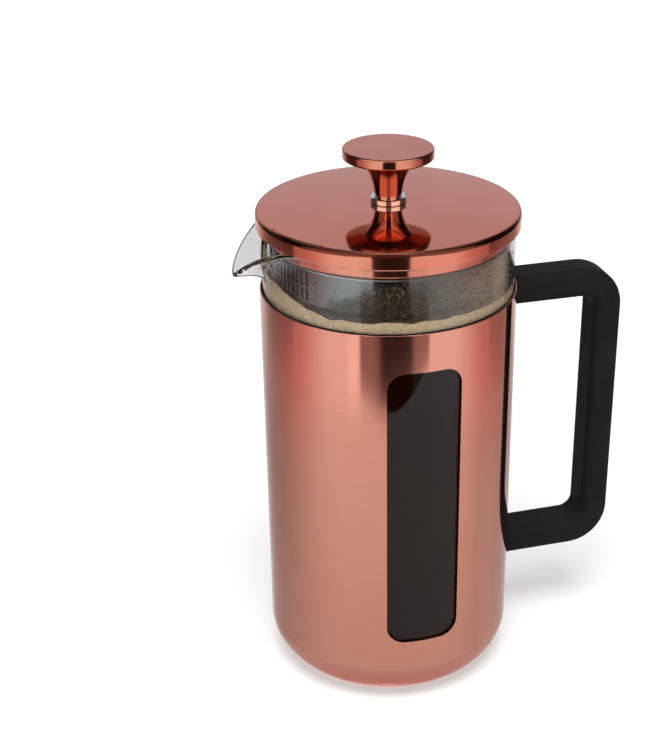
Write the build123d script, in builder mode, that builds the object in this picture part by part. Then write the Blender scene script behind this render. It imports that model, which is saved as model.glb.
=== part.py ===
"""French press: a glass beaker in a windowed metal sleeve, with a lift-off lid and a plunger.

Millimetres, +Z up. The origin is the middle of the base on the shared axis. The handle points
along +X, the pouring spout along -X, and the windows of the sleeve face -Y and +Y.
The plunger is modelled fully down, with its knob resting on the lid's collar.
"""

import math
import os

from build123d import *

# Fits
seat_gap = 0.1
slide_gap = 0.3
press_gap = 0.05
run_gap = 0.08

# Sleeve
sleeve_radius = 52.0
sleeve_height = 172.0
sleeve_wall = 0.6
sleeve_corner = 17.8
sleeve_rim_round = 0.25
window_width = 30.2
window_above_base = 32.0
window_below_rim = 16.0
window_corner = 7.4

# Rim seal between the sleeve and the glass
seal_wall = 0.3
seal_depth = 6.0
seal_stand = 0.4

# Cushion under the glass
cushion_thickness = 2.4
cushion_inset = 1.2
cushion_hole = 12.0
cushion_round = 0.6

# Handle
handle_span = 49.0
handle_below_rim = 1.0
handle_above_base = 37.2
handle_depth = 12.4
handle_width = 17.6
handle_edge = 4.0
handle_bend = 11.5

# Brackets and screws that hold the handle
bracket_length = 20.0
bracket_width = 9.0
bracket_height = 5.0
bracket_gap = 0.15
screw_inset = 12.0
screw_radius = 2.0
screw_head_radius = 3.6
screw_head_height = 2.2
screw_recess = 0.6
screw_bite = 3.6
screw_socket = 2.5
screw_socket_depth = 1.3

# Glass beaker
glass_wall = 2.2
glass_base = 3.0
glass_corner = 14.0
glass_inner_corner = 11.0
glass_rise = 26.6

# Spout drawn out of the beaker's rim
spout_overhang = 12.7
spout_drop = 14.5
spout_half_angle = 42.0
spout_nose = 0.15
spout_flank = 2.5
spout_keel = 0.06
spout_cheek = 3.2
spout_flare = 7.5
spout_turn = 2.0
spout_rise_pull = 3.8
spout_lip_pull = 2.1
spout_floor_pull = 0.8
spout_steps = 12
spout_spacing = 1.6
spout_foot_depth = 4.0
spout_foot_inset = 0.25
spout_foot_length = 2.0

# Lid
lid_overhang = 2.0
lid_edge_height = 6.3
lid_crown = 1.8
lid_sheet = 0.8
lid_edge_round = 2.0
lid_hub_flat = 8.5
plug_gap = 0.7
plug_depth = 5.6
plug_sheet = 0.7
plug_round = 1.0

# Strainer skirt under the lid
strainer_step = 0.5
strainer_depth = 14.2
strainer_sheet = 0.7
strainer_round = 1.4
slot_count = 23
slot_pitch = 3.1
slot_width = 1.3
slot_upper_height = 6.0
slot_lower_height = 4.9
slot_bridge = 0.9
slot_margin = 1.0

# Collar and nut in the middle of the lid
collar_radius = 7.2
collar_height = 2.4
collar_tube = 5.0
collar_edge = 0.35
collar_tail = 0.8
nut_height = 4.2
nut_flats = 14.0

# Plunger rod and knob
rod_radius = 2.5
rod_shoulder_radius = 4.5
rod_shoulder_height = 2.4
knob_radius = 18.05
knob_edge = 4.1
knob_height = 19.7
knob_cone = 1.8
knob_step_radius = 4.7
knob_step_height = 0.8
knob_foot_radius = 5.5
knob_neck_radius = 10.2
knob_neck_waist = 6.9
knob_neck_round = 1.5
knob_round = 0.9
knob_bore_depth = 12.5

# Filter at the foot of the plunger
filter_lift = 10.4
filter_nut_flats = 10.0
filter_nut_height = 5.5
cross_inset = 4.3
cross_sheet = 1.2
cross_ring = 6.0
cross_boss = 9.0
cross_arm = 4.0
cross_arms = 12
mesh_sheet = 0.4
mesh_turn_up = 3.4
mesh_bend = 1.0
spring_coil = 3.8
spring_gap = 0.15
plate_sheet = 1.2
plate_rim = 2.0
plate_bend = 1.6
plate_holes = 8
plate_hole_radius = 6.5
plate_hole_inset = 16.8

# Levels and radii that follow from the sizes above
sleeve_bore = sleeve_radius - sleeve_wall
window_top = sleeve_height - window_below_rim
seal_bore = sleeve_bore - seal_wall
glass_radius = seal_bore - slide_gap
glass_bore = glass_radius - glass_wall
cushion_radius = sleeve_radius - sleeve_corner - cushion_inset
cushion_top = sleeve_wall + cushion_thickness
glass_bottom = cushion_top + seat_gap
glass_floor = glass_bottom + glass_base
glass_rim = sleeve_height + glass_rise
rim_round = glass_wall / 2

lid_radius = glass_radius + lid_overhang
lid_bottom = glass_rim + slide_gap
lid_shoulder = lid_bottom + lid_edge_height
lid_top = lid_shoulder + lid_crown
plug_radius = glass_bore - plug_gap
plug_bottom = lid_bottom - plug_depth
strainer_radius = plug_radius - strainer_step
strainer_top = plug_bottom
strainer_bottom = strainer_top - strainer_depth
nut_top = strainer_top - strainer_sheet
nut_bottom = nut_top - nut_height
collar_top = lid_top + collar_height
collar_bottom = nut_bottom - collar_tail
collar_bore = rod_radius + run_gap
lid_hole = collar_tube + press_gap
plug_flange = lid_radius - lid_sheet - press_gap

knob_bottom = collar_top + seat_gap
knob_top = knob_bottom + knob_height
knob_under = knob_top - knob_edge
knob_foot = knob_bottom + knob_step_height
knob_neck_top = knob_under - knob_cone
knob_bore_top = knob_bottom + knob_bore_depth
fit_hole = rod_radius + press_gap / 2

filter_nut_bottom = glass_floor + filter_lift - filter_nut_height
cross_bottom = glass_floor + filter_lift
mesh_bottom = cross_bottom + cross_sheet
plate_bottom = mesh_bottom + mesh_sheet
shoulder_bottom = plate_bottom + plate_sheet
mesh_radius = glass_bore - slide_gap
cross_radius = mesh_radius - cross_inset
spring_outer = mesh_radius - mesh_sheet - spring_gap
spring_circle = spring_outer - spring_coil / 2
plate_radius = spring_circle - spring_coil / 2 - spring_gap
plate_hole_circle = plate_radius - plate_hole_inset

arm_top = sleeve_height - handle_below_rim - handle_depth / 2
arm_bottom = handle_above_base + handle_depth / 2
grip_x = sleeve_radius + handle_span - handle_depth / 2
screw_x = sleeve_radius + screw_inset

os.makedirs("parts", exist_ok=True)


def spout_share(turn, nose, power):
    """Share of the spout's full reach at a turn from its middle, 1 at the nose and 0 at the ends."""
    rounded = math.hypot(turn, nose) - nose
    span = math.hypot(1.0, nose) - nose
    return max(0.0, 1.0 - rounded / span) ** power


# Sleeve: a drawn can with a rounded foot and a tall window on each side
with BuildPart() as outer_sleeve:
    with BuildSketch(Plane.XZ):
        with BuildLine():
            FilletPolyline((0, 0), (sleeve_radius, 0), (sleeve_radius, sleeve_height), radius=sleeve_corner)
            Line((sleeve_radius, sleeve_height), (sleeve_bore, sleeve_height))
            FilletPolyline((sleeve_bore, sleeve_height), (sleeve_bore, sleeve_wall), (0, sleeve_wall),
                           radius=sleeve_corner - sleeve_wall)
            Line((0, sleeve_wall), (0, 0))
        make_face()
    revolve(axis=Axis.Z)
    fillet(outer_sleeve.edges().group_by(Axis.Z)[-1], sleeve_rim_round)
    with BuildSketch(Plane.XZ):
        with Locations((0, (window_above_base + window_top) / 2)):
            RectangleRounded(window_width, window_top - window_above_base, window_corner)
    extrude(amount=sleeve_radius, both=True, mode=Mode.SUBTRACT)
outer_sleeve.part.label = "outer_sleeve"
export_step(outer_sleeve.part, "parts/outer_sleeve.step")

# Rim seal: a thin band that lines the mouth of the sleeve and stands a little above it
with BuildPart() as rim_seal:
    with BuildSketch(Plane.XY.offset(sleeve_height - seal_depth)):
        Circle(sleeve_bore)
        Circle(seal_bore, mode=Mode.SUBTRACT)
    extrude(amount=seal_depth + seal_stand)
rim_seal.part.label = "rim_seal"
export_step(rim_seal.part, "parts/rim_seal.step")

# Cushion: a soft ring on the floor of the sleeve that carries the glass
with BuildPart() as beaker_cushion:
    with BuildSketch(Plane.XY.offset(sleeve_wall)):
        Circle(cushion_radius)
        Circle(cushion_hole, mode=Mode.SUBTRACT)
    extrude(amount=cushion_thickness)
    fillet(beaker_cushion.edges().group_by(Axis.Z)[-1], cushion_round)
beaker_cushion.part.label = "beaker_cushion"
export_step(beaker_cushion.part, "parts/beaker_cushion.step")

# Handle: one rounded bar bent into a D, with a pocket and a screw hole in each end
with BuildPart() as handle:
    with BuildLine(Plane.XZ) as handle_path:
        FilletPolyline((sleeve_radius - handle_depth, arm_top), (grip_x, arm_top), (grip_x, arm_bottom),
                       (sleeve_radius - handle_depth, arm_bottom), radius=handle_bend)
    with BuildSketch(Plane(origin=(sleeve_radius - handle_depth, 0, arm_top), x_dir=(0, 1, 0), z_dir=(1, 0, 0))):
        RectangleRounded(handle_width, handle_depth, handle_edge)
    sweep(path=handle_path.wires()[0])
    with BuildSketch(Plane.XY):
        Circle(sleeve_radius)
    extrude(amount=sleeve_height, mode=Mode.SUBTRACT)
    with BuildSketch(Plane.YZ.offset(sleeve_radius - sleeve_wall)):
        with Locations((0, arm_top), (0, arm_bottom)):
            Rectangle(bracket_width + 2 * bracket_gap, bracket_height + 2 * bracket_gap)
    extrude(amount=bracket_length + sleeve_wall + bracket_gap, mode=Mode.SUBTRACT)
    with Locations((screw_x, 0, arm_top - handle_depth / 2), (screw_x, 0, arm_bottom - handle_depth / 2)):
        Cylinder(screw_radius + bracket_gap, handle_depth / 2, align=(Align.CENTER, Align.CENTER, Align.MIN),
                 mode=Mode.SUBTRACT)
        Cylinder(screw_head_radius + bracket_gap, screw_head_height + screw_recess,
                 align=(Align.CENTER, Align.CENTER, Align.MIN), mode=Mode.SUBTRACT)
handle.part.label = "handle"
export_step(handle.part, "parts/handle.step")

# Brackets: a tongue welded to the sleeve inside each end of the handle
for end_name, arm_level in (("upper", arm_top), ("lower", arm_bottom)):
    with BuildPart() as handle_bracket:
        with BuildSketch(Plane.YZ.offset(sleeve_radius - sleeve_wall)):
            with Locations((0, arm_level)):
                Rectangle(bracket_width, bracket_height)
        extrude(amount=bracket_length + sleeve_wall)
        with BuildSketch(Plane.XY):
            Circle(sleeve_radius)
        extrude(amount=sleeve_height, mode=Mode.SUBTRACT)
        with Locations((screw_x, 0, arm_level - bracket_height / 2)):
            Cylinder(screw_radius + press_gap, screw_bite, align=(Align.CENTER, Align.CENTER, Align.MIN),
                     mode=Mode.SUBTRACT)
    handle_bracket.part.label = f"handle_bracket_{end_name}"
    export_step(handle_bracket.part, f"parts/handle_bracket_{end_name}.step")

# Screws: one under each arm of the handle, driven up into the bracket
screw_reach = handle_depth / 2 - bracket_height / 2 - screw_recess + screw_bite - seat_gap
with BuildPart() as handle_screws:
    for arm_level in (arm_top, arm_bottom):
        with Locations((screw_x, 0, arm_level - handle_depth / 2 + screw_recess)):
            Cylinder(screw_head_radius, screw_head_height, align=(Align.CENTER, Align.CENTER, Align.MIN))
            Cylinder(screw_radius, screw_reach, align=(Align.CENTER, Align.CENTER, Align.MIN))
        with BuildSketch(Plane.XY.offset(arm_level - handle_depth / 2 + screw_recess)):
            with Locations((screw_x, 0)):
                RegularPolygon(screw_socket / 2, 6, major_radius=False)
        extrude(amount=screw_socket_depth, mode=Mode.SUBTRACT)
handle_screws.part.label = "handle_screws"
export_step(handle_screws.part, "parts/handle_screws.step")

# Glass beaker: a round-footed cup whose rim is drawn out and down into a spout
spout_foot = sleeve_height - spout_foot_depth
lip_level = glass_rim - rim_round
with BuildPart() as glass_beaker:
    with BuildSketch(Plane.XZ):
        with BuildLine():
            Line((0, glass_floor), (0, glass_bottom))
            FilletPolyline((0, glass_bottom), (glass_radius, glass_bottom), (glass_radius, lip_level),
                           radius=glass_corner)
            ThreePointArc((glass_radius, lip_level), (glass_radius - rim_round, glass_rim), (glass_bore, lip_level))
            FilletPolyline((glass_bore, lip_level), (glass_bore, glass_floor), (0, glass_floor),
                           radius=glass_inner_corner)
        make_face()
    revolve(axis=Axis.Z)
    with BuildSketch(Plane.XY.offset(spout_foot)):
        with BuildLine():
            spout_from = 180 - spout_half_angle
            gap_arc = CenterArc((0, 0), 2 * glass_radius, spout_from, 2 * spout_half_angle)
            Polyline(gap_arc @ 1, (0, 0), gap_arc @ 0)
        make_face()
    extrude(amount=glass_rise + spout_foot_depth + glass_wall, mode=Mode.SUBTRACT)
    for step in range(-spout_steps, spout_steps + 1):
        turn = abs(step / spout_steps) ** spout_spacing
        angle = math.radians(180 + math.copysign(turn * spout_half_angle, step))
        reach = spout_share(turn, spout_nose, spout_flank)
        overhang = spout_overhang * reach
        slope = math.pi / 2 * (1 - reach) ** spout_turn
        lip_x = glass_radius - rim_round + overhang
        lip_z = lip_level - spout_drop * spout_share(turn, spout_keel, spout_cheek)
        ahead = Vector(math.cos(slope), math.sin(slope))
        under = Vector(math.sin(slope), -math.cos(slope))
        lip = Vector(lip_x, lip_z)
        lip_under = lip + under * rim_round
        lip_over = lip - under * rim_round
        flare_from = lip_z - spout_flare
        draw = ahead * (spout_floor_pull * overhang + spout_lip_pull)
        foot_x = glass_radius - spout_foot_inset
        foot_in = glass_bore + spout_foot_inset
        foot_z = spout_foot - spout_foot_length
        meridian = Plane(origin=(0, 0, 0), x_dir=(math.cos(angle), math.sin(angle), 0),
                         z_dir=(math.sin(angle), -math.cos(angle), 0))
        with BuildSketch(meridian):
            with BuildLine():
                Line((foot_in, foot_z), (foot_x, foot_z))
                Line((foot_x, foot_z), (glass_radius, spout_foot + spout_foot_length))
                Line((glass_radius, spout_foot + spout_foot_length), (glass_radius, flare_from))
                Bezier((glass_radius, flare_from), (glass_radius, flare_from + spout_rise_pull),
                       lip_under - draw, lip_under)
                ThreePointArc(lip_under, lip + ahead * rim_round, lip_over)
                Bezier(lip_over, lip_over - draw, (glass_bore, flare_from + spout_rise_pull),
                       (glass_bore, flare_from))
                Line((glass_bore, flare_from), (glass_bore, spout_foot + spout_foot_length))
                Line((glass_bore, spout_foot + spout_foot_length), (foot_in, foot_z))
            make_face()
    loft()
glass_beaker.part.label = "glass_beaker"
export_step(glass_beaker.part, "parts/glass_beaker.step")

# Lid cap: a crowned metal cover with a rounded, straight-sided edge
with BuildPart() as lid_cap:
    with BuildSketch(Plane.XZ):
        with BuildLine():
            round_x = lid_radius - lid_edge_round
            round_z = lid_shoulder - lid_edge_round
            Polyline((lid_hub_flat, lid_top - lid_sheet), (lid_hole, lid_top - lid_sheet), (lid_hole, lid_top),
                     (lid_hub_flat, lid_top))
            TangentArc((lid_hub_flat, lid_top), (round_x, lid_shoulder), tangent=(1, 0))
            CenterArc((round_x, round_z), lid_edge_round, 0, 90)
            Polyline((lid_radius, round_z), (lid_radius, lid_bottom), (lid_radius - lid_sheet, lid_bottom),
                     (lid_radius - lid_sheet, round_z))
            CenterArc((round_x, round_z), lid_edge_round - lid_sheet, 0, 90)
            TangentArc((lid_hub_flat, lid_top - lid_sheet), (round_x, lid_shoulder - lid_sheet), tangent=(1, 0))
        make_face()
    revolve(axis=Axis.Z)
lid_cap.part.label = "lid_cap"
export_step(lid_cap.part, "parts/lid_cap.step")

# Lid plug: the step that drops into the glass and closes the underside of the cap
with BuildPart() as lid_plug:
    with BuildSketch(Plane.XZ):
        with BuildLine():
            FilletPolyline((lid_hole, plug_bottom), (plug_radius, plug_bottom), (plug_radius, lid_bottom),
                           radius=plug_round)
            Polyline((plug_radius, lid_bottom), (plug_flange, lid_bottom), (plug_flange, lid_bottom + plug_sheet),
                     (plug_radius - plug_sheet, lid_bottom + plug_sheet))
            FilletPolyline((plug_radius - plug_sheet, lid_bottom + plug_sheet),
                           (plug_radius - plug_sheet, plug_bottom + plug_sheet),
                           (lid_hole, plug_bottom + plug_sheet), radius=plug_round - plug_sheet)
            Line((lid_hole, plug_bottom + plug_sheet), (lid_hole, plug_bottom))
        make_face()
    revolve(axis=Axis.Z)
lid_plug.part.label = "lid_plug"
export_step(lid_plug.part, "parts/lid_plug.step")

# Strainer: a steel pan hung under the plug, with two rows of slots behind the spout
with BuildPart() as lid_strainer:
    with BuildSketch(Plane.XZ):
        with BuildLine():
            strainer_bore = strainer_radius - strainer_sheet
            FilletPolyline((lid_hole, strainer_top), (strainer_radius, strainer_top),
                           (strainer_radius, strainer_bottom), radius=strainer_round)
            Line((strainer_radius, strainer_bottom), (strainer_bore, strainer_bottom))
            FilletPolyline((strainer_bore, strainer_bottom), (strainer_bore, strainer_top - strainer_sheet),
                           (lid_hole, strainer_top - strainer_sheet), radius=strainer_round - strainer_sheet)
            Line((lid_hole, strainer_top - strainer_sheet), (lid_hole, strainer_top))
        make_face()
    revolve(axis=Axis.Z)
    slot_span = slot_pitch * (slot_count - 1)
    lower_row = strainer_bottom + slot_margin + slot_lower_height / 2
    upper_row = lower_row + slot_lower_height / 2 + slot_bridge + slot_upper_height / 2
    for row_level, slot_height in ((lower_row, slot_lower_height), (upper_row, slot_upper_height)):
        with Locations((0, 0, row_level)):
            with PolarLocations(strainer_radius, slot_count, 180 - slot_span / 2, slot_span, endpoint=True):
                Box(4 * strainer_sheet, slot_width, slot_height, mode=Mode.SUBTRACT)
lid_strainer.part.label = "lid_strainer"
export_step(lid_strainer.part, "parts/lid_strainer.step")

# Collar: a flanged tube through the lid that guides the rod
with BuildPart() as lid_collar:
    with BuildSketch(Plane.XZ):
        with BuildLine():
            Polyline((collar_bore, collar_bottom), (collar_tube, collar_bottom), (collar_tube, lid_top),
                     (collar_radius - collar_edge, lid_top), (collar_radius, lid_top + collar_edge),
                     (collar_radius, collar_top - collar_edge),
                     (collar_radius - collar_edge, collar_top), (collar_bore, collar_top),
                     (collar_bore, collar_bottom))
        make_face()
    revolve(axis=Axis.Z)
lid_collar.part.label = "lid_collar"
export_step(lid_collar.part, "parts/lid_collar.step")

# Lid nut: clamps the strainer and the plug to the collar from below
with BuildPart() as lid_nut:
    with BuildSketch(Plane.XY.offset(nut_bottom)):
        RegularPolygon(nut_flats / 2, 6, major_radius=False)
        Circle(lid_hole, mode=Mode.SUBTRACT)
    extrude(amount=nut_height)
lid_nut.part.label = "lid_nut"
export_step(lid_nut.part, "parts/lid_nut.step")

# Knob: a disc with a coned underside on a trumpet-shaped neck, stepped at its foot and bored for the rod
with BuildPart() as knob:
    with BuildSketch(Plane.XZ):
        with BuildLine():
            Polyline((0, knob_bore_top), (fit_hole, knob_bore_top), (fit_hole, knob_bottom),
                     (knob_step_radius, knob_bottom), (knob_step_radius, knob_foot), (knob_foot_radius, knob_foot))
            ThreePointArc((knob_foot_radius, knob_foot), (knob_neck_waist, (knob_foot + knob_neck_top) / 2),
                          (knob_neck_radius, knob_neck_top))
            FilletPolyline((knob_neck_radius, knob_neck_top), (knob_radius, knob_under), (knob_radius, knob_top),
                           (0, knob_top), radius=knob_round)
            Line((0, knob_top), (0, knob_bore_top))
        knob_section = make_face()
        fillet(knob_section.vertices().sort_by_distance((knob_neck_radius, knob_neck_top))[0], knob_neck_round)
    revolve(axis=Axis.Z)
knob.part.label = "knob"
export_step(knob.part, "parts/knob.step")

# Rod: turned steel with a shoulder that holds the filter down
with BuildPart() as plunger_rod:
    with BuildSketch(Plane.XZ):
        with BuildLine():
            rod_top = knob_bore_top - seat_gap
            shoulder_top = shoulder_bottom + rod_shoulder_height
            Polyline((0, filter_nut_bottom), (rod_radius, filter_nut_bottom), (rod_radius, shoulder_bottom),
                     (rod_shoulder_radius, shoulder_bottom), (rod_shoulder_radius, shoulder_top),
                     (rod_radius, shoulder_top), (rod_radius, rod_top), (0, rod_top), (0, filter_nut_bottom))
        make_face()
    revolve(axis=Axis.Z)
plunger_rod.part.label = "plunger_rod"
export_step(plunger_rod.part, "parts/plunger_rod.step")

# Spring plate: a holed disc with a turned-up rim, inside the ring of the spring
with BuildPart() as spring_plate:
    with BuildSketch(Plane.XZ):
        with BuildLine():
            plate_top = plate_bottom + plate_sheet
            rim_top = plate_top + plate_rim
            rim_bore = plate_radius - plate_sheet
            FilletPolyline((fit_hole, plate_bottom), (plate_radius, plate_bottom), (plate_radius, rim_top),
                           radius=plate_bend)
            Line((plate_radius, rim_top), (rim_bore, rim_top))
            FilletPolyline((rim_bore, rim_top), (rim_bore, plate_top), (fit_hole, plate_top),
                           radius=plate_bend - plate_sheet)
            Line((fit_hole, plate_top), (fit_hole, plate_bottom))
        make_face()
    revolve(axis=Axis.Z)
    with BuildSketch(Plane.XY.offset(plate_bottom)):
        with PolarLocations(plate_hole_circle, plate_holes):
            Circle(plate_hole_radius)
    extrude(amount=plate_sheet, mode=Mode.SUBTRACT)
spring_plate.part.label = "spring_plate"
export_step(spring_plate.part, "parts/spring_plate.step")

# Filter spring: the soft ring that presses the mesh against the glass
with BuildPart() as filter_spring:
    with Locations((0, 0, plate_bottom + spring_gap + spring_coil / 2)):
        Torus(spring_circle, spring_coil / 2)
filter_spring.part.label = "filter_spring"
export_step(filter_spring.part, "parts/filter_spring.step")

# Mesh screen: a woven disc whose edge turns up along the glass
with BuildPart() as mesh_screen:
    with BuildSketch(Plane.XZ):
        with BuildLine():
            mesh_top = mesh_bottom + mesh_sheet
            edge_top = mesh_bottom + mesh_turn_up
            FilletPolyline((fit_hole, mesh_bottom), (mesh_radius, mesh_bottom), (mesh_radius, edge_top),
                           radius=mesh_bend)
            Line((mesh_radius, edge_top), (mesh_radius - mesh_sheet, edge_top))
            FilletPolyline((mesh_radius - mesh_sheet, edge_top), (mesh_radius - mesh_sheet, mesh_top),
                           (fit_hole, mesh_top), radius=mesh_bend - mesh_sheet)
            Line((fit_hole, mesh_top), (fit_hole, mesh_bottom))
        make_face()
    revolve(axis=Axis.Z)
mesh_screen.part.label = "mesh_screen"
export_step(mesh_screen.part, "parts/mesh_screen.step")

# Cross plate: a spoked steel disc that backs the mesh from below
with BuildPart() as cross_plate:
    with BuildSketch(Plane.XY.offset(cross_bottom)):
        Circle(cross_radius)
        Circle(cross_radius - cross_ring, mode=Mode.SUBTRACT)
        with PolarLocations(0, cross_arms // 2, 0, 180):
            Rectangle(2 * cross_radius - cross_ring, cross_arm)
        Circle(cross_boss)
        Circle(fit_hole, mode=Mode.SUBTRACT)
    extrude(amount=cross_sheet)
cross_plate.part.label = "cross_plate"
export_step(cross_plate.part, "parts/cross_plate.step")

# Filter nut: holds the cross plate, mesh and spring plate against the rod's shoulder
with BuildPart() as filter_nut:
    with BuildSketch(Plane.XY.offset(filter_nut_bottom)):
        RegularPolygon(filter_nut_flats / 2, 6, major_radius=False)
        Circle(fit_hole, mode=Mode.SUBTRACT)
    extrude(amount=filter_nut_height)
filter_nut.part.label = "filter_nut"
export_step(filter_nut.part, "parts/filter_nut.step")
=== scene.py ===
"""Looks of the french press: finishes, the brew inside it and the studio round it.

Metres, in the part's own frame: +Z is up, the handle points along +X and the spout along -X.
"""

import logging
import math
import random
from dataclasses import dataclass
from enum import Enum
from typing import Any, Dict, List, Optional, Sequence, Tuple, Union

import bmesh
import bpy
from mathutils import Matrix, Vector, noise


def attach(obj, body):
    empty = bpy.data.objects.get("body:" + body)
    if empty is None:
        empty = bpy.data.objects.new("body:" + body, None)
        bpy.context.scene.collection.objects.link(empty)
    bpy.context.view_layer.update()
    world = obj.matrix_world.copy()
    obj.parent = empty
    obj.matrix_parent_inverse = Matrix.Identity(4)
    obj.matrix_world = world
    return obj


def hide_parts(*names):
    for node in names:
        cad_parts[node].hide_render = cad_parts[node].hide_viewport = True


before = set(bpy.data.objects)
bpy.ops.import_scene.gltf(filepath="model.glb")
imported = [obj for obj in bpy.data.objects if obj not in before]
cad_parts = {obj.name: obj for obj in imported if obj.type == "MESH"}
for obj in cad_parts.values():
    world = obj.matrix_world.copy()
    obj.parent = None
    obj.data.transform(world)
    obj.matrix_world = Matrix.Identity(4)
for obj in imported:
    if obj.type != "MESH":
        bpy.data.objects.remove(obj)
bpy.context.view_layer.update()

MM = 0.001
AXIS_UP = (0.0, 0.0, 1.0)
MERGE_DISTANCE = 0.000001
HALF = 0.5
WHITE = (1.0, 1.0, 1.0)
Colour = Tuple[float, float, float]
Triple = Tuple[float, float, float]
Span = Tuple[float, float]
Band = Tuple[float, float, float, float]
Edges = Sequence[float]
Value = Union["Wire", float, Sequence[float]]
Extras = Tuple[Tuple[str, Value], ...]

log = logging.getLogger("french_press")


class Body(Enum):
    """The moving bodies that new pieces ride on."""

    BEAKER = "beaker"
    PLUNGER = "plunger"


class Slot(Enum):
    """Two of the record's material slots, which no piece in this script uses."""

    GLASS = "clear_glass"
    STEEL = "polished_steel"


class Wire:
    """A shader socket that takes part in Python expressions."""

    def __init__(self, recipe: "Recipe", socket: bpy.types.NodeSocket) -> None:
        """Keeps the socket and the recipe it belongs to."""
        self.recipe = recipe
        self.socket = socket

    def maths(self, operation: str, *values: Value) -> "Wire":
        """The result of a Math node, from its operation and what goes into it, in order."""
        return self.recipe.node("ShaderNodeMath", {"operation": operation}, dict(enumerate(values)))

    def __add__(self, other: Value) -> "Wire":
        """self + other."""
        return self.maths("ADD", self, other)

    def __radd__(self, other: Value) -> "Wire":
        """other + self."""
        return self.maths("ADD", other, self)

    def __sub__(self, other: Value) -> "Wire":
        """self - other."""
        return self.maths("SUBTRACT", self, other)

    def __rsub__(self, other: Value) -> "Wire":
        """other - self."""
        return self.maths("SUBTRACT", other, self)

    def __mul__(self, other: Value) -> "Wire":
        """self * other."""
        return self.maths("MULTIPLY", self, other)

    def __rmul__(self, other: Value) -> "Wire":
        """other * self."""
        return self.maths("MULTIPLY", other, self)

    def __pow__(self, other: Value) -> "Wire":
        """self ** other."""
        return self.maths("POWER", self, other)

    def __abs__(self) -> "Wire":
        """abs(self)."""
        return self.maths("ABSOLUTE", self)

    def sine(self) -> "Wire":
        """The sine of this angle."""
        return self.maths("SINE", self)

    def larger(self, other: Value) -> "Wire":
        """The larger of two values."""
        return self.maths("MAXIMUM", self, other)

    def step(self, start: float, end: float) -> "Wire":
        """A smooth step of this value.

        Args:
            start: Where the result is 0.
            end: Where the result is 1.

        Returns:
            The step, from 0 to 1.
        """
        low, high, first, last = (start, end, 0.0, 1.0) if start < end else (end, start, 1.0, 0.0)
        sockets = {"Value": self, "From Min": low, "From Max": high, "To Min": first, "To Max": last}
        return self.recipe.node("ShaderNodeMapRange", {"interpolation_type": "SMOOTHSTEP"}, sockets)

    def fade(self, edges: Edges) -> "Wire":
        """One smooth step between two places, or a band from four: start, full, fading and end."""
        rising = self.step(edges[0], edges[1])
        return rising * self.step(edges[3], edges[2]) if len(edges) > 2 else rising


@dataclass(frozen=True)
class Grain:
    """One noise: grains per metre across and up, how many finer layers, and how strong they are."""

    across: float
    up: float
    detail: float = 3.0
    rough: float = 0.5


@dataclass(frozen=True)
class Cells:
    """One pattern of round cells: how many per metre, and the distances where each fades from 0 to 1."""

    per_metre: float
    span: Span


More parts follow.
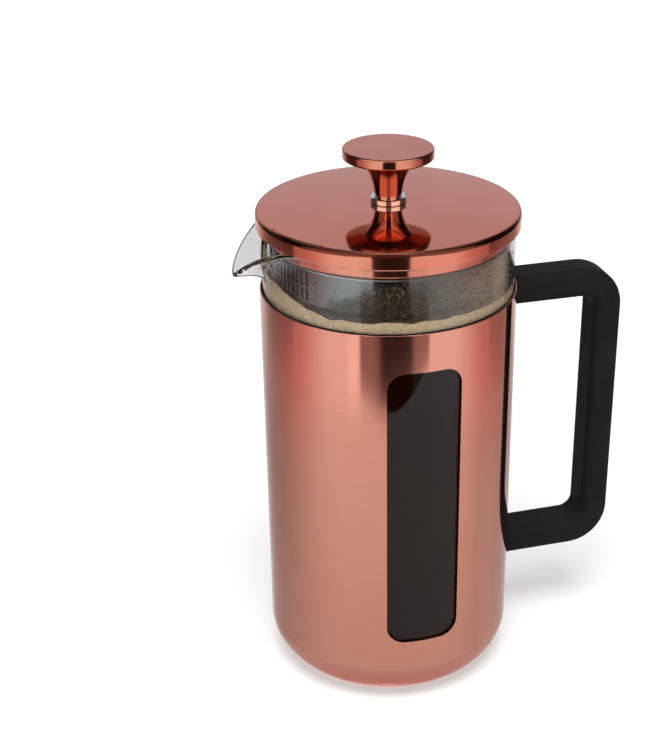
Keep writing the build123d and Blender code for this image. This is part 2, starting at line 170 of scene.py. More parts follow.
class Recipe:
    """Adds nodes to one node tree, of a material or of the world."""

    def __init__(self, tree: bpy.types.NodeTree) -> None:
        """Empties the tree."""
        self.tree = tree
        tree.nodes.clear()

    @classmethod
    def material(cls, name: str) -> Tuple["Recipe", bpy.types.Material]:
        """Starts a new material.

        Args:
            name: The material's name.

        Returns:
            The recipe and the material.
        """
        made = bpy.data.materials.new(name)
        made.use_nodes = True
        return cls(made.node_tree), made

    def node(
        self,
        kind: str,
        settings: Optional[Dict[str, Any]] = None,
        sockets: Optional[Dict[Union[str, int], Value]] = None,
        output: Union[str, int] = 0,
    ) -> Wire:
        """Adds one node.

        Args:
            kind: The node's type.
            settings: The node's own settings, set first.
            sockets: Values or wires for its inputs, by name or place.
            output: The output to return.

        Returns:
            The output as a wire.
        """
        made = self.tree.nodes.new(kind)
        for key, value in (settings or {}).items():
            setattr(made, key, value)
        for key, value in (sockets or {}).items():
            if isinstance(value, Wire):
                self.tree.links.new(value.socket, made.inputs[key])
            else:
                made.inputs[key].default_value = value
        return Wire(self, made.outputs[output])

    def place(self, scale: Sequence[float] = (1.0, 1.0, 1.0)) -> Wire:
        """Object coordinates, stretched by how often a pattern repeats along each axis."""
        spot = self.node("ShaderNodeTexCoord", output="Object")
        return self.node("ShaderNodeMapping", None, {"Vector": spot, "Scale": scale})

    def apart(self, vector: Wire) -> List[Wire]:
        """The x, y and z of a vector."""
        node = self.node("ShaderNodeSeparateXYZ", None, {0: vector}).socket.node
        return [Wire(self, socket) for socket in node.outputs]

    def grain(self, pattern: Grain) -> Wire:
        """Noise on object coordinates.

        Args:
            pattern: The noise.

        Returns:
            The noise, about one half.
        """
        spot = self.place((pattern.across, pattern.across, pattern.up))
        sockets = {"Vector": spot, "Scale": 1.0, "Detail": pattern.detail, "Roughness": pattern.rough}
        return self.node("ShaderNodeTexNoise", None, sockets)

    def cells(self, pattern: Cells) -> Wire:
        """Round cells on object coordinates, from 0 to 1."""
        sockets = {"Vector": self.place(), "Scale": pattern.per_metre}
        return self.node("ShaderNodeTexVoronoi", None, sockets).step(*pattern.span)

    def blend(self, share: Value, first: Value, second: Value) -> Wire:
        """A mix of two colours: a share of 0 gives the first, 1 the second."""
        sockets = {0: share, 6: self._paint(first), 7: self._paint(second)}
        return self.node("ShaderNodeMix", {"data_type": "RGBA"}, sockets, 2)

    @staticmethod
    def _paint(colour: Value) -> Value:
        """A colour with its alpha."""
        return colour if isinstance(colour, Wire) else (*colour, 1.0)

    def relief(self, height: Wire, depth: float, strength: float) -> Wire:
        """A bump: the height from 0 to 1, what 1 stands for in metres, and how much of it shows."""
        return self.node("ShaderNodeBump", None, {"Height": height, "Distance": depth, "Strength": strength})

    def surface(self, sockets: Dict[str, Value]) -> None:
        """Ends a material with a Principled shader that takes these values or wires."""
        shader = self.node("ShaderNodeBsdfPrincipled", None, sockets)
        self.node_out("ShaderNodeOutputMaterial", shader)

    def node_out(self, kind: str, shader: Wire) -> None:
        """Links a shader to a new output node's surface."""
        out = self.tree.nodes.new(kind)
        self.tree.links.new(shader.socket, out.inputs["Surface"])


@dataclass(frozen=True)
class Grained:
    """Two tones with fine lines or grains and faint clouds: bare stainless steel, unless told otherwise."""

    name: str
    light: Colour = (0.70, 0.68, 0.66)
    dark: Colour = (0.58, 0.56, 0.55)
    roughness: float = 0.16
    fine: Grain = Grain(60.0, 2200.0)
    depth: float = 0.00001
    extras: Extras = (("Metallic", 1.0),)
    relief: float = 0.3
    clouds: Grain = Grain(60.0, 60.0)
    fine_share: float = 0.5
    light_span: Span = (0.3, 0.7)
    fine_roughness: float = 0.1
    cloud_roughness: float = 0.08

    def make(self) -> bpy.types.Material:
        """Builds the material.

        Returns:
            The material.
        """
        recipe, made = Recipe.material(self.name)
        fine = recipe.grain(self.fine)
        clouds = recipe.grain(self.clouds)
        shade = fine * self.fine_share + clouds * (1.0 - self.fine_share)
        polish = (fine - HALF) * self.fine_roughness + (clouds - HALF) * self.cloud_roughness
        recipe.surface({
            "Base Color": recipe.blend(shade.step(*self.light_span), self.dark, self.light),
            "Roughness": self.roughness + polish,
            "Normal": recipe.relief(fine, self.depth, self.relief),
            **dict(self.extras),
        })
        return made


@dataclass(frozen=True)
class SatinCopper(Grained):
    """Copper-coloured steel, finely brushed round the can."""

    name: str = "satin_copper"
    light: Colour = (0.80, 0.350, 0.262)
    dark: Colour = (0.765, 0.318, 0.234)
    roughness: float = 0.075
    fine: Grain = Grain(14.0, 2600.0, 4.0, 0.6)
    extras: Extras = (("Metallic", 1.0), ("Anisotropic", 0.3), ("Anisotropic Rotation", 0.25))
    relief: float = 0.06
    clouds: Grain = Grain(24.0, 24.0)
    light_span: Span = (0.25, 0.75)
    fine_roughness: float = 0.04
    cloud_roughness: float = 0.03


@dataclass(frozen=True)
class SoftBlack(Grained):
    """Black plastic with a soft matt coat or a rubbery skin."""

    light: Colour = (0.0138, 0.0125, 0.0141)
    dark: Colour = (0.0088, 0.0078, 0.0090)
    roughness: float = 0.6
    fine: Grain = Grain(5200.0, 5200.0, 2.0)
    depth: float = 0.00006
    extras: Extras = (("Specular IOR Level", 0.06), ("Sheen Weight", 0.01), ("Sheen Roughness", 0.4))
    relief: float = 0.35
    clouds: Grain = Grain(45.0, 45.0, 4.0)
    fine_share: float = 0.4
    light_span: Span = (0.35, 0.75)
    cloud_roughness: float = 0.16


@dataclass(frozen=True)
class MirrorCopper:
    """Polished copper plate with a faint haze and a few specks.

    Faces that point down can take a painted shade, and the curved edge a painted dark reflection that fades
    towards the spout and the handle.
    """

    name: str
    tone: Colour = (0.80, 0.305, 0.20)
    haze: Colour = (0.755, 0.28, 0.185)
    speck: Colour = (0.42, 0.12, 0.07)
    painted_under_shade: Colour = (0.80, 0.305, 0.20)
    painted_edge_shade: Colour = (0.80, 0.305, 0.20)
    under_shade_slope: Span = (-0.35, -0.75)
    edge_shade_slope: Band = (0.20, 0.32, 0.72, 0.82)
    edge_shade_reach: Band = (-0.0515, -0.0465, 0.034, 0.044)
    clouds: Grain = Grain(30.0, 30.0, 4.0, 0.55)
    haze_span: Span = (0.3, 0.7)
    specks: Cells = Cells(60.0, (0.016, 0.0096))
    roughness: float = 0.075
    haze_roughness: float = 0.05
    speck_roughness: float = 0.3
    ripple: Grain = Grain(300.0, 300.0, 2.0)
    ripple_depth: float = 0.000004
    ripple_relief: float = 0.3

    def make(self) -> bpy.types.Material:
        """Builds the material.

        Returns:
            The material.
        """
        recipe, made = Recipe.material(self.name)
        clouds = recipe.grain(self.clouds)
        ripple = recipe.grain(self.ripple)
        specks = recipe.cells(self.specks)
        facing = recipe.apart(recipe.node("ShaderNodeNewGeometry", output="Normal"))[2]
        across = recipe.apart(recipe.place())[0]
        # Painted dark reflection: a darker tone on the lid's curved edge, fading towards the spout and the
        # handle.
        painted_edge_shade = facing.fade(self.edge_shade_slope) * across.fade(self.edge_shade_reach)
        polished = recipe.blend(clouds.step(*self.haze_span), self.haze, self.tone)
        plate = recipe.blend(painted_edge_shade, polished, self.painted_edge_shade)
        # Painted shade: a darker tone on faces that point down.
        shaded_plate = recipe.blend(facing.step(*self.under_shade_slope), plate, self.painted_under_shade)
        polish = (clouds - HALF) * self.haze_roughness + specks * self.speck_roughness
        recipe.surface({
            "Base Color": recipe.blend(specks, shaded_plate, self.speck),
            "Metallic": 1.0,
            "Roughness": self.roughness + polish,
            "Normal": recipe.relief(ripple, self.ripple_depth, self.ripple_relief),
        })
        return made


@dataclass(frozen=True)
class WovenSteel:
    """Fine woven wire cloth."""

    name: str = "woven_steel"
    tone: Colour = (0.62, 0.60, 0.58)
    gap: Colour = (0.10, 0.09, 0.085)
    gap_span: Span = (0.25, 0.7)
    over_span: Span = (0.35, 0.65)
    under_drop: float = 0.4
    roughness: float = 0.42
    wire_polish: float = 0.16
    wire_pitch: float = 0.0007
    wire_height: float = 0.00012
    wire_relief: float = 0.8

    def make(self) -> bpy.types.Material:
        """Builds the material.

        Returns:
            The material.
        """
        recipe, made = Recipe.material(self.name)
        half_turn = math.pi / self.wire_pitch
        across, along, up = recipe.apart(recipe.place((half_turn, half_turn, half_turn)))
        over = ((across + along).sine() * HALF + HALF).step(*self.over_span)
        warp = abs(across.sine()) * over
        weft = abs((along + up).sine()) * (1.0 - over * self.under_drop)
        height = warp.larger(weft)
        recipe.surface({
            "Base Color": recipe.blend(height.step(*self.gap_span), self.gap, self.tone),
            "Metallic": 1.0,
            "Roughness": self.roughness - height * self.wire_polish,
            "Normal": recipe.relief(height, self.wire_height, self.wire_relief),
        })
        return made


@dataclass(frozen=True)
class ClearGlass:
    """Blown clear glass with a slight wave and faint smears."""

    name: str = "clear_glass"
    tone: Colour = (0.975, 0.985, 0.98)
    smeared: Colour = (0.96, 0.97, 0.965)
    smear: Grain = Grain(90.0, 40.0, 4.0, 0.6)
    smear_span: Span = (0.3, 0.8)
    rough_span: Span = (0.62, 0.9)
    smear_roughness: float = 0.05
    bend: float = 1.41
    wave: Grain = Grain(26.0, 16.0, 1.0)
    wave_depth: float = 0.00012
    wave_relief: float = 0.4

    def make(self) -> bpy.types.Material:
        """Builds the material.

        Returns:
            The material.
        """
        recipe, made = Recipe.material(self.name)
        wave = recipe.grain(self.wave)
        smear = recipe.grain(self.smear)
        recipe.surface({
            "Base Color": recipe.blend(smear.step(*self.smear_span), self.tone, self.smeared),
            "Roughness": smear.step(*self.rough_span) * self.smear_roughness,
            "IOR": self.bend,
            "Transmission Weight": 1.0,
            "Normal": recipe.relief(wave, self.wave_depth, self.wave_relief),
        })
        return made


@dataclass(frozen=True)
class Mottled:
    """Two tones in soft patches, in the base colour or in another input."""

    name: str
    light: Colour
    dark: Colour
    patches: Grain
    extras: Extras
    roughness: float = 0.0
    patch_roughness: float = 0.0
    light_span: Edges = ()
    mixed: str = "Base Color"

    def make(self) -> bpy.types.Material:
        """Builds the material.

        Returns:
            The material.
        """
        recipe, made = Recipe.material(self.name)
        patch = recipe.grain(self.patches)
        share = patch.step(*self.light_span) if self.light_span else patch
        roughness: Value = self.roughness
        if self.patch_roughness:
            roughness = roughness + patch * self.patch_roughness
        recipe.surface({
            self.mixed: recipe.blend(share, self.dark, self.light),
            "Roughness": roughness,
            **dict(self.extras),
        })
        return made


@dataclass(frozen=True)
class BubbleSkin(Mottled):
    """The wet skin of the larger bubbles."""

    light: Colour = (0.36, 0.25, 0.14)
    dark: Colour = (0.11, 0.068, 0.036)
    patches: Grain = Grain(500.0, 500.0)
    extras: Extras = (("Coat Weight", 0.6),)
    roughness: float = 0.1
    patch_roughness: float = 0.1
    light_span: Edges = (0.3, 0.7)


@dataclass(frozen=True)
class Foam:
    """Coffee foam: pale fine froth at the glass, brown and thin in the middle."""

    name: str = "coffee_foam"
    froth: Colour = (0.99, 0.775, 0.505)
    thin: Colour = (0.50, 0.37, 0.23)
    stain: Colour = (0.20, 0.13, 0.07)
    patches: Grain = Grain(70.0, 70.0, 5.0, 0.65)
    stain_span: Span = (0.36, 0.66)
    ring_span: Span = (0.0405, 0.0475)
    ring_wander: float = 0.008
    bubbles: Cells = Cells(900.0, (0.15, 0.55))
    bubble_share: float = 0.6
    tiny: Cells = Cells(2340.0, (0.15, 0.5))
    pit_stain: float = 0.47
    roughness: float = 0.35
    pit_roughness: float = 0.25
    gloss: float = 0.2
    pit_depth: float = 0.0004
    pit_relief: float = 0.7

    def make(self) -> bpy.types.Material:
        """Builds the material.

        Returns:
            The material.
        """
        recipe, made = Recipe.material(self.name)
        across, along, _ = recipe.apart(recipe.place())
        reach = (across * across + along * along) ** HALF
        patch = recipe.grain(self.patches)
        bubbles = recipe.cells(self.bubbles)
        tiny = recipe.cells(self.tiny)
        pits = bubbles * self.bubble_share + tiny * (1.0 - self.bubble_share)
        ring = (reach + (patch - HALF) * self.ring_wander).step(*self.ring_span)
        middle = recipe.blend(patch.step(*self.stain_span), self.stain, self.thin)
        colour = recipe.blend(ring, middle, self.froth)
        recipe.surface({
            "Base Color": recipe.blend(pits * self.pit_stain, colour, self.stain),
            "Roughness": self.roughness + pits * self.pit_roughness,
            "Specular IOR Level": self.gloss,
            "Normal": recipe.relief(1.0 - pits, self.pit_depth, self.pit_relief),
        })
        return made


@dataclass(frozen=True)
class CoffeeFilm:
    """The thin smear of coffee and steam that a shaken glass keeps above the foam.

    It is paler and covers more towards the handle, where its top edge is also higher.
    """

    name: str = "coffee_film"
    pale: Colour = (0.82, 0.64, 0.46)
    brown: Colour = (0.060, 0.032, 0.012)
    patches: Grain = Grain(150.0, 120.0, 5.0, 0.65)
    flecks: Cells = Cells(900.0, (0.42, 0.20))
    fleck_share: float = 0.6
    dots: Cells = Cells(1900.0, (0.45, 0.25))
    level: float = 0.184
    slope: float = 0.5
    slope_start: float = -0.03
    edge_wander: float = 0.012
    edge_span: Span = (-0.002, 0.004)
    top_span: Span = (0.2010, 0.1890)
    front_span: Span = (-0.008, 0.016)
    right_span: Span = (-0.002, 0.042)
    band_span: Band = (0.027, 0.033, 0.036, 0.041)
    fleck_pale: float = 0.26
    front_pale: float = 0.2
    right_pale: float = 0.6
    band_pale: float = 0.3
    thickness: float = 0.62
    cover: float = 0.5
    patch_span: Span = (0.3, 0.8)
    patch_cover: float = 0.2
    fleck_cover: float = 0.3
    right_cover: float = 0.4
    band_cover: float = 0.15
    roughness: float = 0.25
    patch_roughness: float = 0.3
    gloss: float = 0.2

    def make(self) -> bpy.types.Material:
        """Builds the material.

        Returns:
            The material.
        """
        recipe, made = Recipe.material(self.name)
        across, _, up = recipe.apart(recipe.place())
        patch = recipe.grain(self.patches)
        flecks = recipe.cells(self.flecks)
        dots = recipe.cells(self.dots)
        flecks = flecks * self.fleck_share + dots * (1.0 - self.fleck_share)
        edge = self.level + (across - self.slope_start) * self.slope + (patch - HALF) * self.edge_wander
        wet = (edge - up).step(*self.edge_span) * up.step(*self.top_span)
        right = across.step(*self.right_span)
        band = across.fade(self.band_span)
        paler = flecks * self.fleck_pale + across.step(*self.front_span) * self.front_pale
        paler = paler + right * self.right_pale + band * self.band_pale
        cover = self.cover + patch.step(*self.patch_span) * self.patch_cover + flecks * self.fleck_cover
        cover = cover + right * self.right_cover + band * self.band_cover
        recipe.surface({
            "Base Color": recipe.blend(paler, self.brown, self.pale),
            "Roughness": self.roughness + patch * self.patch_roughness,
            "Specular IOR Level": self.gloss,
            "Alpha": wet * cover * self.thickness,
        })
        return made


class Finishes:
    """Every finish of the press, each made once."""

    def __init__(self) -> None:
        """Makes the materials."""
        self.satin_copper = SatinCopper().make()
        # The lid's curved edge carries a painted dark reflection.
        self.mirror_copper = MirrorCopper("mirror_copper", painted_edge_shade=(0.17, 0.036, 0.022)).make()
        # The knob's downward faces carry a painted shade.
        self.knob_copper = MirrorCopper("knob_copper", (0.745, 0.282, 0.185), (0.705, 0.26, 0.17),
                                        painted_under_shade=(0.36, 0.10, 0.06), painted_edge_shade=(0.745, 0.282, 0.185)).make()
        self.bright_steel = Grained("bright_steel", (0.80, 0.78, 0.76), (0.70, 0.68, 0.66), 0.09).make()
        self.collar_steel = Grained("collar_steel", (0.80, 0.88, 0.82), (0.70, 0.77, 0.72), 0.09).make()
        self.plain_steel = Grained("plain_steel").make()
        # The strainer's steel is darkened: painted shade beneath the lid.
        self.shaded_skirt_steel = Grained("shaded_skirt_steel", (0.222, 0.236, 0.240), (0.180, 0.190, 0.194), 0.1).make()
        self.woven_steel = WovenSteel().make()
        self.grip_black = SoftBlack("grip_black").make()
        self.seal_black = SoftBlack(
            "seal_black", (0.018, 0.018, 0.018), (0.010, 0.010, 0.010), 0.5, Grain(3000.0, 3000.0, 2.0),
            0.00004, (("Specular IOR Level", 0.06),),
        ).make()
        self.clear_glass = ClearGlass().make()
        self.water = Mottled(
            "condensed_water", WHITE, (0.97, 0.97, 0.96), Grain(400.0, 400.0, 2.0),
            (("IOR", 1.33), ("Transmission Weight", 1.0)), patch_roughness=0.02,
        ).make()
        # Black coffee, with a very faint brown glow in soft patches: painted light for the lit brown of the
        # coffee seen through the glass.
        self.coffee = Mottled(
            "black_coffee", (0.0096, 0.0020, 0.0005), (0.0062, 0.0010, 0.0002), Grain(35.0, 18.0, 5.0, 0.6),
            (("Base Color", (0.0010, 0.0005, 0.0003, 1.0)), ("Specular IOR Level", 0.0),
             ("Emission Strength", 1.0)),
            roughness=0.3, patch_roughness=0.1, light_span=(0.35, 0.75), mixed="Emission Color",
        ).make()
        self.foam = Foam().make()
        self.film = CoffeeFilm().make()
        self.bubble_skin = BubbleSkin("bubble_skin").make()
        self.dark_bubble_skin = BubbleSkin("dark_bubble_skin", (0.15, 0.10, 0.055),
                                           (0.035, 0.020, 0.010)).make()


def dress(material: bpy.types.Material, *nodes: str) -> None:
    """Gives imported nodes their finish.

    Args:
        material: The finish.
        nodes: The names of the nodes.
    """
    for name in nodes:
        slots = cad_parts[name].data.materials
        slots.clear()
        slots.append(material)
        log.info("dressed %s in %s", name, material.name)


class Workpiece:
    """One new piece while it is being modelled."""

    def __init__(self, name: str) -> None:
        """Starts with an empty mesh."""
        self.name = name
        self.mesh = bmesh.new()

    def line(self, points: Sequence[Tuple[float, float]], closed: bool = False) -> None:
        """Draws a profile in the plane of the axis and +X.

        Args:
            points: Radius and height of each corner.
            closed: Whether the last corner joins the first.
        """
        corners = [self.mesh.verts.new((radius, 0.0, height)) for radius, height in points]
        for first, second in zip(corners, corners[1:]):
            self.mesh.edges.new((first, second))
        if closed:
            self.mesh.edges.new((corners[-1], corners[0]))

    def round_corners(self, radius: float, segments: int, *places: int) -> None:
        """Rounds corners of the profile.

        Args:
            radius: How far the round runs along each edge.
            segments: Edges in each round.
            places: Which corners.
        """
        self.mesh.verts.ensure_lookup_table()
        corners = [self.mesh.verts[place] for place in places]
        bmesh.ops.bevel(self.mesh, geom=corners, offset=radius, offset_type="OFFSET", segments=segments,
                        profile=0.5, affect="VERTICES", material=-1)

    def turn(self, steps: int) -> None:
        """Turns the profile once round the shared axis."""
        bmesh.ops.spin(self.mesh, geom=self.mesh.verts[:] + self.mesh.edges[:], cent=(0.0, 0.0, 0.0),
                       axis=AXIS_UP, angle=math.tau, steps=steps, use_merge=True, use_duplicate=False)
        self.tidy()

    def tidy(self) -> None:
        """Joins doubled corners and points the faces outwards."""
        bmesh.ops.remove_doubles(self.mesh, verts=self.mesh.verts[:], dist=MERGE_DISTANCE)
        bmesh.ops.recalc_face_normals(self.mesh, faces=self.mesh.faces[:])

    def ball(self, detail: int, matrix: Matrix) -> None:
        """Adds a small round form, this finely divided, at the matrix's place, turn and size."""
        bmesh.ops.create_icosphere(self.mesh, subdivisions=detail, radius=1.0, matrix=matrix)

    def finish(self, material: bpy.types.Material, body: Body) -> bpy.types.Object:
        """Makes the object.

        Args:
            material: Its finish.
            body: What it rides on.

        Returns:
            The object.
        """
        data = bpy.data.meshes.new(self.name)
        self.mesh.to_mesh(data)
        self.mesh.free()
        data.shade_smooth()
        data.materials.append(material)
        made = bpy.data.objects.new(self.name, data)
        bpy.context.scene.collection.objects.link(made)
        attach(made, body.value)
        log.info("built %s with %d faces", self.name, len(data.polygons))
        return made


@dataclass
class Holder:
    """The sleeve, its seal and cushion, and the handle."""

    finishes: Finishes

    def build(self) -> None:
        """Dresses the holder's nodes."""
        dress(self.finishes.satin_copper, "outer_sleeve")
        dress(self.finishes.seal_black, "rim_seal", "beaker_cushion")
        dress(self.finishes.grip_black, "handle")
        dress(self.finishes.plain_steel, "handle_bracket_upper", "handle_bracket_lower", "handle_screws")


@dataclass
class Brew:
    """The coffee in the glass, its foam and its smear on the glass."""

    finishes: Finishes
    bore: float = 48.6 * MM
    floor: float = 6.1 * MM
    corner: float = 11.0 * MM
    corner_steps: int = 10
    rod: float = 2.5 * MM
    level: float = 175.0 * MM
    skin: float = 0.35 * MM
    soak: float = 0.2 * MM
    foam_depth: float = 1.5 * MM
    foam_skirt: float = 6.0 * MM
    foam_lip: float = 0.35 * MM
    foam_top_edge: int = 7
    foam_cuts: int = 40
    climb: float = 1.0 * MM
    climb_steps: Tuple[Span, ...] = ((0.3 * MM, 0.75), (1.4 * MM, 0.3), (4.0 * MM, 0.0))
    rod_gap: float = 0.25 * MM
    rod_reach: float = 3.0 * MM
    rod_climb: float = 0.6 * MM
    spout_climb: float = 5.6 * MM
    spout_climb_from: float = 44.0
    spout_climb_to: float = 15.0
    spout_climb_back: float = 45.0
    lumps_per_metre: float = 190.0
    lump_fade: float = 1.0
    lump_step: float = 2.0
    lump_layers: int = 4
    lump_depth: float = 0.2 * MM
    lump_height: float = 0.45 * MM
    wall_reach: float = 0.5 * MM
    wall_lump_height: float = 0.8 * MM
    smear_gap: float = 0.03 * MM
    smear_depth: float = 0.03 * MM
    smear_start: float = 0.2 * MM
    smear_height: float = 19.0 * MM
    turn_steps: int = 128

    def build(self) -> None:
        """Builds the contents in order."""
        self.liquid()
        self.foam()
        self.smear()

    def liquid(self) -> None:
        """The dark column of coffee, as the skin that shows through the glass."""
        piece = Workpiece("coffee")
        outer = self.bore + self.soak
        low = self.floor - self.soak
        top = self.level - self.foam_skirt
        piece.line([(0.0, low), (outer, low), (outer, top)])
        piece.round_corners(self.corner, self.corner_steps, 1)
        piece.turn(self.turn_steps)
        bmesh.ops.solidify(piece.mesh, geom=piece.mesh.faces[:], thickness=self.skin)
        piece.tidy()
        piece.finish(self.finishes.coffee, Body.BEAKER)

    def foam(self) -> None:
        """The lumpy layer of foam, which climbs at the rod and at the glass, most of all by the spout."""
        piece = Workpiece("coffee_foam")
        outer = self.bore + self.soak
        lip = outer - self.foam_lip
        inner = self.rod + self.rod_gap
        base = self.level - self.foam_depth
        foot = self.level - self.foam_skirt
        slope = [(lip - inwards, self.level + self.climb * share) for inwards, share in self.climb_steps]
        piece.line([
            (inner, base), (lip, base), (lip, foot), (outer, foot), (outer, self.level + self.climb), *slope,
            (inner + self.rod_reach, self.level), (inner, self.level + self.rod_climb),
        ], closed=True)
        piece.mesh.edges.ensure_lookup_table()
        top_edge = piece.mesh.edges[self.foam_top_edge]
        bmesh.ops.subdivide_edges(piece.mesh, edges=[top_edge], cuts=self.foam_cuts)
        piece.turn(self.turn_steps)
        for corner in piece.mesh.verts:
            spot = corner.co
            if spot.z < self.level - self.lump_depth:
                continue
            lump = noise.fractal(spot * self.lumps_per_metre, self.lump_fade, self.lump_step,
                                 self.lump_layers)
            if spot.xy.length < lip - self.wall_reach:
                spot.z += self.lump_height * lump
                continue
            side = math.degrees(math.atan2(-spot.y, -spot.x))
            share = (self.spout_climb_from - side) / (self.spout_climb_from - self.spout_climb_to)
            share = min(share, 1.0 + (side + self.spout_climb_back) / self.spout_climb_back)
            spot.z += self.spout_climb * min(1.0, max(0.0, share)) + self.wall_lump_height * lump
        piece.finish(self.finishes.foam, Body.BEAKER)

    def smear(self) -> None:
        """The smear of coffee on the inside of the glass above the foam."""
        piece = Workpiece("coffee_film")
        face = self.bore - self.smear_gap
        inner = face - self.smear_depth
        low, high = self.level + self.smear_start, self.level + self.smear_height
        piece.line([(inner, low), (face, low), (face, high), (inner, high)], closed=True)
        piece.turn(self.turn_steps)
        piece.finish(self.finishes.film, Body.BEAKER)


@dataclass(frozen=True)
class Scatter:
    """Small forms on the inside of the glass: how many, where and how large, in degrees and millimetres."""

    seed: int
    count: int
    turn: Span
    height: Span
    width: Span
    sink: float
    sag: Edges = ()


@dataclass
class Froth:
    """The bubbles on the foam, and the bubbles and drops on the glass above it."""

    finishes: Finishes
    bore: float
    level: float
    detail: int = 2
    fine_detail: int = 3
    fine_from: float = 1.0 * MM
    bubble_seed: int = 41
    bubble_count: int = 420
    bubble_area: Span = (0.03, 0.93)
    bubble_sizes: Tuple[float, ...] = (0.3, 0.35, 0.45, 0.6, 0.9)
    bubble_spread: Span = (0.8, 1.2)
    bubble_sink: float = 0.1 * MM
    bubble_height: float = 0.7
    large_bubbles: Tuple[Triple, ...] = (
        (33.0, -78.0, 2.3), (31.0, -84.0, 1.4), (35.5, -75.0, 1.2), (20.0, -60.0, 1.6),
    )
    cling: Scatter = Scatter(23, 240, (-92.0, 22.0), (2.6, 14.0), (0.14, 0.36), 0.05)
    large_cling: Triple = (-100.0, 13.2, 1.0)
    drops: Scatter = Scatter(7, 520, (-60.0, 28.0), (2.4, 16.0), (0.20, 0.48), 0.04, (1.0, 1.7))
    flatness: float = 0.45
    most_depth: float = 0.3

    def build(self) -> None:
        """Builds the bubbles on the foam, then the small dark bubbles and the drops on the glass."""
        self.bubbles()
        clinging = Workpiece("glass_bubbles")
        self._scatter(clinging, self.cling)
        self._on_glass(clinging, self.cling.sink, *self.large_cling)
        clinging.finish(self.finishes.dark_bubble_skin, Body.BEAKER)
        condensed = Workpiece("steam_drops")
        self._scatter(condensed, self.drops)
        condensed.finish(self.finishes.water, Body.BEAKER)

    def bubbles(self) -> None:
        """Bubbles that stand on the foam, spread evenly, and a few large ones at the front."""
        piece = Workpiece("foam_bubbles")
        draw = random.Random(self.bubble_seed)
        for _ in range(self.bubble_count):
            reach = self.bore * math.sqrt(draw.uniform(*self.bubble_area))
            angle = draw.uniform(0.0, math.tau)
            size = draw.choice(self.bubble_sizes) * MM * draw.uniform(*self.bubble_spread)
            self._bubble(piece, reach, angle, size)
        for reach, angle, size in self.large_bubbles:
            self._bubble(piece, reach * MM, math.radians(angle), size * MM)
        piece.finish(self.finishes.bubble_skin, Body.BEAKER)

    def _bubble(self, piece: Workpiece, reach: float, angle: float, size: float) -> None:
        """Adds one low dome.

        Args:
            piece: The piece it belongs to.
            reach: Its distance from the axis.
            angle: Its turn about the axis.
            size: Its radius.
        """
        spot = Vector((reach * math.cos(angle), reach * math.sin(angle), self.level - self.bubble_sink))
        shape = Matrix.Diagonal((size, size, size * self.bubble_height, 1.0))
        detail = self.fine_detail if size > self.fine_from else self.detail
        piece.ball(detail, Matrix.Translation(spot) @ shape)

    def _scatter(self, piece: Workpiece, scatter: Scatter) -> None:
        """Adds many small forms on the inside of the glass.

        Args:
            piece: The piece they belong to.
            scatter: How many, where and how large.
        """
        draw = random.Random(scatter.seed)
        for _ in range(scatter.count):
            angle = draw.gauss(*scatter.turn)
            height = draw.uniform(*scatter.height)
            width = draw.uniform(*scatter.width)
            sag = draw.uniform(*scatter.sag) if scatter.sag else 1.0
            self._on_glass(piece, scatter.sink, angle, height, width, sag)

    def _on_glass(self, piece: Workpiece, sink: float, angle: float, height: float, width: float,
                  sag: float = 1.0) -> None:
        """Adds one flat form on the inside of the glass, in degrees and millimetres.

        Args:
            piece: The piece it belongs to.
            sink: How far its middle stands off the glass.
            angle: Its turn about the axis.
            height: How far it is above the coffee.
            width: Its radius.
            sag: How much taller than wide it is.
        """
        turn = Matrix.Rotation(math.radians(angle), 4, "Z")
        spot = Matrix.Translation((self.bore - sink * MM, 0.0, self.level + height * MM))
        depth = min(width * self.flatness, self.most_depth)
        size = Matrix.Diagonal((depth * MM, width * MM, width * sag * MM, 1.0))
        piece.ball(self.detail, turn @ spot @ size)


@dataclass
class Beaker:
    """The glass beaker and what is in it."""

    finishes: Finishes

    def build(self) -> None:
        """Dresses the glass and fills it."""
        dress(self.finishes.clear_glass, "glass_beaker")
        brew = Brew(self.finishes)
        brew.build()
        Froth(self.finishes, brew.bore, brew.level).build()


@dataclass
class Lid:
    """The lid with its plug, strainer, collar and nut."""

    finishes: Finishes

    def build(self) -> None:
        """Dresses the lid's nodes."""
        dress(self.finishes.mirror_copper, "lid_cap", "lid_plug")
        # The strainer takes the darkened steel, a painted shade.
        dress(self.finishes.shaded_skirt_steel, "lid_strainer")
        dress(self.finishes.collar_steel, "lid_collar")
        dress(self.finishes.plain_steel, "lid_nut")


